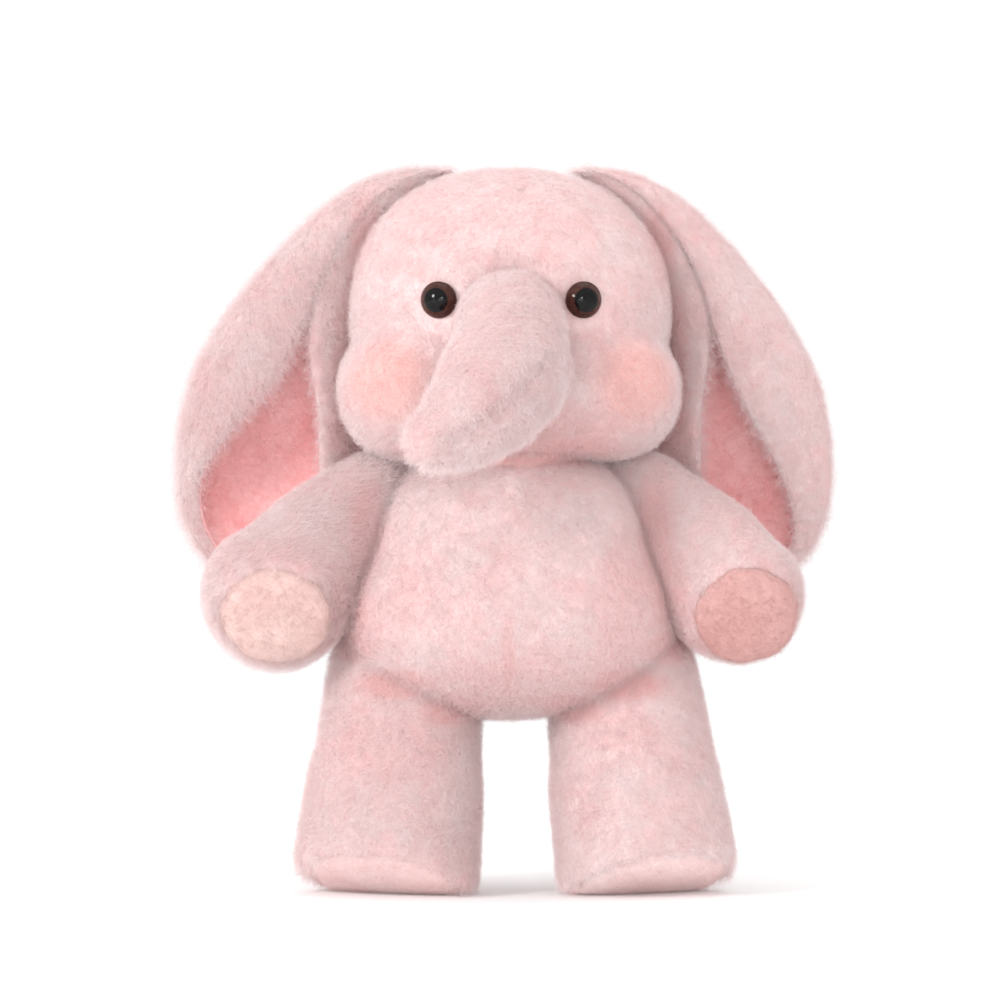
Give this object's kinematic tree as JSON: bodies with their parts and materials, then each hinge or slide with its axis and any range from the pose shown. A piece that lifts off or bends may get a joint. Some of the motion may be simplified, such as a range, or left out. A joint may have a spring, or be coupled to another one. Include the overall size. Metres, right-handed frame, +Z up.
{
  "type": "stuffed elephant",
  "caption": "Soft plush elephant standing on its heels, with long lop ears, a curved trunk, padded hands, padded soles and small round eyes.",
  "frame": {"origin": "on the floor, under the middle of the toy's bounding box", "axes": "+Z up, the face looks to -Y, the toy's left is +X"},
  "size_m": [0.2698, 0.1775, 0.299],
  "materials": {
    "plush": "matte",
    "velour": "matte",
    "fibre": "matte",
    "eye_brown": "gloss",
    "eye_black": "gloss",
    "washer": "matte"
  },
  "bodies": {
    "torso": {"torso_front_left_skin": "plush", "torso_front_right_skin": "plush", "torso_back_skin": "plush", "torso_stuffing": "fibre"},
    "neck": {"neck_stuffing": "fibre"},
    "head": {"forehead_skin": "plush", "muzzle_skin": "plush", "head_back_skin": "plush", "head_stuffing": "fibre", "eye_left": "eye_brown", "eye_right": "eye_brown", "eye_pupil_left": "eye_black", "eye_pupil_right": "eye_black", "eye_washer_left": "washer", "eye_washer_right": "washer"},
    "trunk": {"trunk_top_skin": "plush", "trunk_underside_skin": "plush", "trunk_stuffing": "fibre"},
    "tail": {"tail_skin": "plush", "tail_tuft": "plush"},
    "ear_left": {"ear_left_skin": "plush", "ear_left_wadding": "fibre", "ear_left_lining": "velour"},
    "arm_left": {"arm_left_skin": "plush", "arm_left_pad": "velour", "arm_left_stuffing": "fibre"},
    "leg_left": {"leg_left_skin": "plush", "leg_left_sole": "velour", "leg_left_stuffing": "fibre"},
    "ear_right": {"ear_right_skin": "plush", "ear_right_wadding": "fibre", "ear_right_lining": "velour"},
    "arm_right": {"arm_right_skin": "plush", "arm_right_pad": "velour", "arm_right_stuffing": "fibre"},
    "leg_right": {"leg_right_skin": "plush", "leg_right_sole": "velour", "leg_right_stuffing": "fibre"}
  },
  "joints": [
    {"name": "head_turn", "type": "hinge", "parent": "torso", "child": "neck", "pos_m": [0, 0.0265, 0.182], "axis": [0, 0, 1], "range_deg": [-8, 8], "stiffness_Nm_per_rad": 2.5},
    {"name": "head_nod", "type": "hinge", "parent": "neck", "child": "head", "pos_m": [0, 0.0265, 0.182], "axis": [1, 0, 0], "range_deg": [-6, 6], "stiffness_Nm_per_rad": 4},
    {"name": "trunk_lift", "type": "hinge", "parent": "head", "child": "trunk", "pos_m": [0, -0.0155, 0.231], "axis": [-1, 0, 0], "range_deg": [-8, 30], "stiffness_Nm_per_rad": 0.6},
    {"name": "ear_left_flap", "type": "hinge", "parent": "head", "child": "ear_left", "pos_m": [0.066, 0.0385, 0.25], "axis": [-0.26, 0, 0.9656], "range_deg": [-6, 24], "stiffness_Nm_per_rad": 0.5},
    {"name": "arm_left_swing", "type": "hinge", "parent": "torso", "child": "arm_left", "pos_m": [0.049, 0.0225, 0.171], "axis": [-1, 0, 0], "range_deg": [-6, 60], "stiffness_Nm_per_rad": 0.9},
    {"name": "leg_left_swing", "type": "hinge", "parent": "torso", "child": "leg_left", "pos_m": [0.047, 0.0295, 0.078], "axis": [-1, 0, 0], "range_deg": [-12, 28], "stiffness_Nm_per_rad": 10},
    {"name": "ear_right_flap", "type": "hinge", "parent": "head", "child": "ear_right", "pos_m": [-0.066, 0.0385, 0.25], "axis": [-0.26, 0, -0.9656], "range_deg": [-6, 24], "stiffness_Nm_per_rad": 0.5},
    {"name": "arm_right_swing", "type": "hinge", "parent": "torso", "child": "arm_right", "pos_m": [-0.049, 0.0225, 0.171], "axis": [-1, 0, 0], "range_deg": [-6, 60], "stiffness_Nm_per_rad": 0.9},
    {"name": "leg_right_swing", "type": "hinge", "parent": "torso", "child": "leg_right", "pos_m": [-0.047, 0.0295, 0.078], "axis": [-1, 0, 0], "range_deg": [-12, 28], "stiffness_Nm_per_rad": 10},
    {"name": "tail_lift", "type": "hinge", "parent": "torso", "child": "tail", "pos_m": [0, 0.0858, 0.118], "axis": [1, 0, 0], "range_deg": [0, 60], "stiffness_Nm_per_rad": 0.05}
  ]
}
